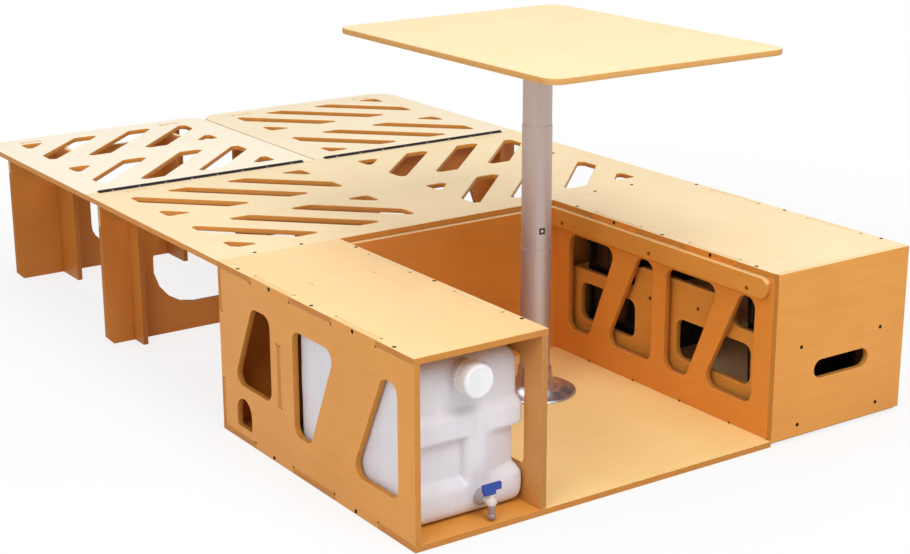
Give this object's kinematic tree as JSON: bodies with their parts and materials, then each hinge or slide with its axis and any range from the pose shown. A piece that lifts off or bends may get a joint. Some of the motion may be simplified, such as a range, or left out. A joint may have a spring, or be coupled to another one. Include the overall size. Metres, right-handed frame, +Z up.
{
  "type": "campervan kitchen pod",
  "caption": "Plywood camper unit: canister box and drawer box around a bay with a telescopic table, and a slatted folding bed behind on cross-lapped legs.",
  "frame": {"origin": "centre of the bounding box's bottom, on the floor under the middle of the whole unit", "axes": "+Z up, +Y from the boxes' front to the foot of the bed, +X from the canister box to the drawer box"},
  "size_m": [1.15, 1.91, 0.76],
  "materials": {
    "birch_ply": "oiled birch plywood faces, pale on top",
    "birch_ply_sides": "oiled birch plywood with striped cut edges",
    "black_hinge_steel": "black coated steel",
    "drawer_slide_zinc": "zinc plated",
    "post_aluminium": "silver anodised, satin",
    "flange_chrome": "polished",
    "table_flange_zinc": "zinc plated",
    "button_steel": "dark",
    "canister_plastic": "milky translucent polyethylene",
    "cap_plastic": "white",
    "tap_grey_plastic": "grey",
    "lever_blue_plastic": "blue",
    "crate_black_plastic": "black, lightly grained"
  },
  "bodies": {
    "unit": {"base_panel": "birch_ply", "left_box_top": "birch_ply", "right_box_top": "birch_ply", "bed_near_panel": "birch_ply", "rear_panel": "birch_ply_sides", "left_box_outer_side": "birch_ply_sides", "left_box_inner_side": "birch_ply_sides", "right_box_inner_side": "birch_ply_sides", "right_box_outer_side": "birch_ply_sides", "left_box_divider": "birch_ply_sides", "left_bay_cleat": "birch_ply_sides", "right_bay_cleat": "birch_ply_sides", "bed_cleat": "birch_ply_sides", "near_leg_board": "birch_ply_sides", "near_leg_left_fin": "birch_ply_sides", "near_leg_right_fin": "birch_ply_sides", "far_left_leg_board": "birch_ply_sides", "far_left_leg_outer_fin": "birch_ply_sides", "far_left_leg_inner_fin": "birch_ply_sides", "far_right_leg_board": "birch_ply_sides", "far_right_leg_outer_fin": "birch_ply_sides", "far_right_leg_inner_fin": "birch_ply_sides", "left_hinge_near_leaf": "black_hinge_steel", "right_hinge_near_leaf": "black_hinge_steel", "left_slide_outer": "drawer_slide_zinc", "right_slide_outer": "drawer_slide_zinc", "floor_flange": "flange_chrome"},
    "left_flap": {"left_flap_panel": "birch_ply", "left_hinge_far_leaf": "black_hinge_steel"},
    "right_flap": {"right_flap_panel": "birch_ply", "right_hinge_far_leaf": "black_hinge_steel"},
    "post_lower": {"post_lower_tube": "post_aluminium"},
    "post_middle": {"post_middle_tube": "post_aluminium"},
    "table": {"post_upper_tube": "post_aluminium", "table_flange": "table_flange_zinc", "table_top": "birch_ply"},
    "release_button": {"post_button": "button_steel"},
    "canister": {"canister_body": "canister_plastic", "tap_body": "tap_grey_plastic", "tap_collar": "tap_grey_plastic"},
    "cap": {"canister_cap": "cap_plastic"},
    "tap_handle": {"tap_lever": "lever_blue_plastic"},
    "drawer": {"drawer_front": "birch_ply_sides", "drawer_left_side": "birch_ply_sides", "drawer_right_side": "birch_ply_sides", "drawer_bottom": "birch_ply", "drawer_back": "birch_ply_sides", "drawer_shelf": "birch_ply", "drawer_front_rail": "birch_ply", "left_slide_inner": "drawer_slide_zinc", "right_slide_inner": "drawer_slide_zinc"},
    "slide_middles": {"left_slide_middle": "drawer_slide_zinc", "right_slide_middle": "drawer_slide_zinc"},
    "front_crate": {"front_crate": "crate_black_plastic"},
    "rear_crate": {"rear_crate": "crate_black_plastic"}
  },
  "joints": [
    {"name": "left_flap_fold", "type": "hinge", "parent": "unit", "child": "left_flap", "pos_m": [-0.285, 0.345, 0.3428], "axis": [1, 0, 0], "range_deg": [0, 180]},
    {"name": "right_flap_fold", "type": "hinge", "parent": "unit", "child": "right_flap", "pos_m": [0.285, 0.345, 0.3428], "axis": [1, 0, 0], "range_deg": [0, 180]},
    {"name": "post_swivel", "type": "hinge", "parent": "unit", "child": "post_lower", "pos_m": [0.027, -0.479, 0.0123], "axis": [0, 0, 1], "range_deg": [-180, 0]},
    {"name": "post_lower_stage", "type": "slide", "parent": "post_lower", "child": "post_middle", "axis": [0, 0, -1], "range_m": [0, 0.25]},
    {"name": "post_upper_stage", "type": "slide", "parent": "post_middle", "child": "table", "axis": [0, 0, -1], "range_m": [0, 0.1697]},
    {"name": "button_press", "type": "slide", "parent": "post_middle", "child": "release_button", "axis": [0.2334, 0.9724, 0], "range_m": [0, 0.003], "stiffness_N_per_m": 300},
    {"name": "canister_slide", "type": "slide", "parent": "unit", "child": "canister", "axis": [0, -1, 0], "range_m": [0, 0.4]},
    {"name": "cap_turn", "type": "hinge", "parent": "canister", "child": "cap", "pos_m": [-0.438, -0.945, 0.269], "axis": [0, -1, 0], "range_deg": [0, 360]},
    {"name": "tap_turn", "type": "hinge", "parent": "canister", "child": "tap_handle", "pos_m": [-0.411, -0.941, 0.0595], "axis": [0, 0, 1], "range_deg": [0, 90]},
    {"name": "drawer_pull", "type": "slide", "parent": "unit", "child": "drawer", "axis": [0, -1, 0], "range_m": [0, 0.5]},
    {"name": "slide_middle_travel", "type": "slide", "parent": "unit", "child": "slide_middles", "axis": [0, -1, 0], "range_m": [0, 0.25]},
    {"name": "front_crate_lift", "type": "slide", "parent": "drawer", "child": "front_crate", "axis": [0, 0, 1], "range_m": [0, 0.04]},
    {"name": "rear_crate_lift", "type": "slide", "parent": "drawer", "child": "rear_crate", "axis": [0, 0, 1], "range_m": [0, 0.04]}
  ],
  "couplings": [
    {"joint": "slide_middle_travel", "follows": "drawer_pull", "ratio": 0.5}
  ]
}
